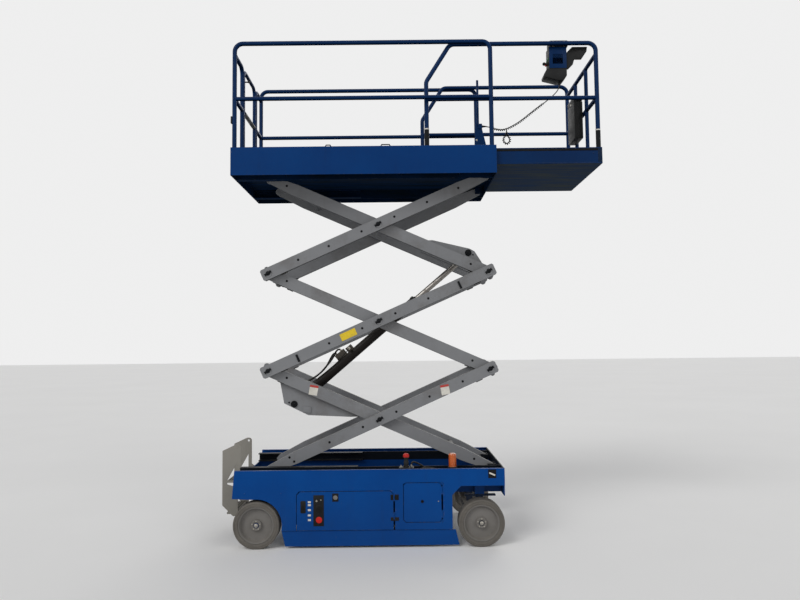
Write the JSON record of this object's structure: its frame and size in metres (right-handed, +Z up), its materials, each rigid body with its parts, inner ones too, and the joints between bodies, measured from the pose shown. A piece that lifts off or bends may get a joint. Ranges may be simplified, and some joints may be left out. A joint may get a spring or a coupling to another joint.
{
  "type": "scissor lift",
  "caption": "Wheeled slab scissor lift with a raised guardrailed platform, slide-out deck, rear ladder and steered front wheels.",
  "frame": {"origin": "on the floor under the middle of the machine as it stands", "axes": "+X forward, towards the steered wheels and the slid-out deck, +Z up, the right-hand side of the machine at -Y"},
  "size_m": [3.315, 1.17, 4.2923],
  "materials": {
    "blue_paint": "worn gloss blue paint on steel",
    "dark_steel": "oily dark blue paint",
    "grey_paint": "satin light grey paint, scuffed",
    "tyre": "pale non-marking solid rubber",
    "wheel_paint": "scuffed grey paint",
    "black_steel": "satin black paint",
    "chrome": "ground chrome",
    "black_plastic": "black moulded plastic",
    "amber_plastic": "clear amber lens"
  },
  "bodies": {
    "chassis": {"chassis_frame": "dark_steel", "side_panel_right": "blue_paint", "side_panel_left": "blue_paint", "ladder": "grey_paint", "beacon": "amber_plastic", "lowering_valve": "black_plastic"},
    "inner_arms_1": {"inner_arms_1": "grey_paint"},
    "outer_arms_1": {"outer_arms_1": "grey_paint"},
    "outer_arms_2": {"outer_arms_2": "grey_paint"},
    "inner_arms_2": {"inner_arms_2": "grey_paint"},
    "inner_arms_3": {"inner_arms_3": "grey_paint"},
    "outer_arms_3": {"outer_arms_3": "grey_paint"},
    "cylinder_barrel": {"lift_cylinder_barrel": "black_steel"},
    "cylinder_rod": {"lift_cylinder_rod": "chrome"},
    "platform": {"platform_deck": "blue_paint", "guardrail_right": "blue_paint", "guardrail_left": "blue_paint", "rear_rail_right": "blue_paint", "rear_rail_left": "blue_paint"},
    "gate": {"gate": "blue_paint"},
    "extension": {"extension_deck": "blue_paint", "extension_rail_right": "blue_paint", "extension_rail_left": "blue_paint", "extension_rail_front": "blue_paint", "control_box": "blue_paint", "document_box": "black_plastic", "deck_handle": "blue_paint", "control_cord": "black_plastic"},
    "tie_rod": {"tie_rod": "dark_steel"},
    "tray_right": {"module_tray_right": "blue_paint", "power_block_right": "dark_steel", "ground_controls": "black_plastic"},
    "hatch_right": {"hatch_right": "blue_paint"},
    "guard_right": {"pothole_guard_right": "blue_paint"},
    "rear_wheel_right": {"tyre_rear_right": "tyre", "wheel_rear_right": "wheel_paint"},
    "front_wheel_right": {"tyre_front_right": "tyre", "wheel_front_right": "wheel_paint"},
    "yoke_right": {"steering_yoke_right": "dark_steel"},
    "tray_left": {"module_tray_left": "blue_paint", "power_block_left": "dark_steel"},
    "hatch_left": {"hatch_left": "blue_paint"},
    "guard_left": {"pothole_guard_left": "blue_paint"},
    "rear_wheel_left": {"tyre_rear_left": "tyre", "wheel_rear_left": "wheel_paint"},
    "front_wheel_left": {"tyre_front_left": "tyre", "wheel_front_left": "wheel_paint"},
    "yoke_left": {"steering_yoke_left": "dark_steel"}
  },
  "joints": [
    {"name": "lift", "type": "hinge", "parent": "chassis", "child": "inner_arms_1", "pos_m": [0.6902, 0, 0.5925], "axis": [0, 1, 0], "range_deg": [-19.78, 31.22]},
    {"name": "scissor_outer_1", "type": "hinge", "parent": "inner_arms_1", "child": "outer_arms_1", "pos_m": [-0.27386, 0, 1.0173], "axis": [0, 1, 0], "range_deg": [-62.94, 40.06]},
    {"name": "scissor_outer_2", "type": "hinge", "parent": "inner_arms_1", "child": "outer_arms_2", "pos_m": [-1.23792, 0, 1.4421], "axis": [0, 1, 0], "range_deg": [-62.94, 40.06]},
    {"name": "scissor_inner_2", "type": "hinge", "parent": "outer_arms_2", "child": "inner_arms_2", "pos_m": [-0.27386, 0, 1.86689], "axis": [0, 1, 0], "range_deg": [-40.06, 62.94]},
    {"name": "scissor_inner_3", "type": "hinge", "parent": "outer_arms_2", "child": "inner_arms_3", "pos_m": [0.6902, 0, 2.29169], "axis": [0, 1, 0], "range_deg": [-40.06, 62.94]},
    {"name": "scissor_outer_3", "type": "hinge", "parent": "inner_arms_3", "child": "outer_arms_3", "pos_m": [-0.27386, 0, 2.71649], "axis": [0, 1, 0], "range_deg": [-62.94, 40.06]},
    {"name": "platform_level", "type": "hinge", "parent": "outer_arms_3", "child": "platform", "pos_m": [0.6902, 0, 3.14129], "axis": [0, 1, 0], "range_deg": [-20.28, 31.72]},
    {"name": "cylinder_tilt", "type": "hinge", "parent": "inner_arms_1", "child": "cylinder_barrel", "pos_m": [-1.02609, 0, 1.14659], "axis": [0, 1, 0], "range_deg": [-69.18, 44.02]},
    {"name": "cylinder_stroke", "type": "slide", "parent": "cylinder_barrel", "child": "cylinder_rod", "axis": [0.7612, 0, 0.6486], "range_m": [-0.3759, 0.5876]},
    {"name": "deck_slide", "type": "slide", "parent": "platform", "child": "extension", "axis": [1, 0, 0], "range_m": [-0.9, 0]},
    {"name": "gate_swing", "type": "hinge", "parent": "platform", "child": "gate", "pos_m": [-1.4842, 0.275, 3.78729], "axis": [0, 0, 1], "range_deg": [0, 90]},
    {"name": "tray_swing_right", "type": "hinge", "parent": "chassis", "child": "tray_right", "pos_m": [-0.155, -0.577, 0.3], "axis": [0, 0, 1], "range_deg": [0, 90]},
    {"name": "hatch_swing_right", "type": "hinge", "parent": "chassis", "child": "hatch_right", "pos_m": [0.24, -0.577, 0.36], "axis": [0, 0, 1], "range_deg": [0, 90]},
    {"name": "guard_lift_right", "type": "slide", "parent": "chassis", "child": "guard_right", "axis": [0, 0, 1], "range_m": [0, 0.05]},
    {"name": "wheel_spin_rear_right", "type": "hinge", "parent": "chassis", "child": "rear_wheel_right", "pos_m": [-1.2875, -0.5215, 0.1905], "axis": [0, 1, 0], "continuous": true},
    {"name": "wheel_spin_front_right", "type": "hinge", "parent": "yoke_right", "child": "front_wheel_right", "pos_m": [0.5625, -0.5215, 0.1905], "axis": [0, 1, 0], "continuous": true},
    {"name": "tray_swing_left", "type": "hinge", "parent": "chassis", "child": "tray_left", "pos_m": [-0.155, 0.577, 0.3], "axis": [0, 0, -1], "range_deg": [0, 90]},
    {"name": "hatch_swing_left", "type": "hinge", "parent": "chassis", "child": "hatch_left", "pos_m": [0.24, 0.577, 0.36], "axis": [0, 0, -1], "range_deg": [0, 90]},
    {"name": "guard_lift_left", "type": "slide", "parent": "chassis", "child": "guard_left", "axis": [0, 0, 1], "range_m": [0, 0.05]},
    {"name": "wheel_spin_rear_left", "type": "hinge", "parent": "chassis", "child": "rear_wheel_left", "pos_m": [-1.2875, 0.5215, 0.1905], "axis": [0, 1, 0], "continuous": true},
    {"name": "wheel_spin_front_left", "type": "hinge", "parent": "yoke_left", "child": "front_wheel_left", "pos_m": [0.5625, 0.5215, 0.1905], "axis": [0, 1, 0], "continuous": true},
    {"name": "steer", "type": "hinge", "parent": "chassis", "child": "yoke_right", "pos_m": [0.5625, -0.432, 0.3], "axis": [0, 0, 1], "range_deg": [-35, 35]},
    {"name": "steer_left", "type": "hinge", "parent": "chassis", "child": "yoke_left", "pos_m": [0.5625, 0.432, 0.3], "axis": [0, 0, 1], "range_deg": [-35.5, 35.5]},
    {"name": "tie_rod_swing", "type": "hinge", "parent": "yoke_right", "child": "tie_rod", "pos_m": [0.4425, -0.432, 0.268], "axis": [0, 0, 1], "range_deg": [-35.5, 35.5]}
  ],
  "couplings": [
    {"joint": "scissor_outer_1", "follows": "lift", "ratio": -2},
    {"joint": "scissor_outer_2", "follows": "lift", "ratio": -2},
    {"joint": "scissor_inner_2", "follows": "lift", "ratio": 2},
    {"joint": "scissor_inner_3", "follows": "lift", "ratio": 2},
    {"joint": "scissor_outer_3", "follows": "lift", "ratio": -2},
    {"joint": "platform_level", "follows": "lift", "ratio": 1},
    {"joint": "cylinder_tilt", "follows": "lift", "ratio": -2.2},
    {"joint": "cylinder_stroke", "follows": "lift", "m_per_rad": 1.06},
    {"joint": "steer_left", "follows": "steer", "ratio": 1},
    {"joint": "tie_rod_swing", "follows": "steer", "ratio": -1}
  ]
}
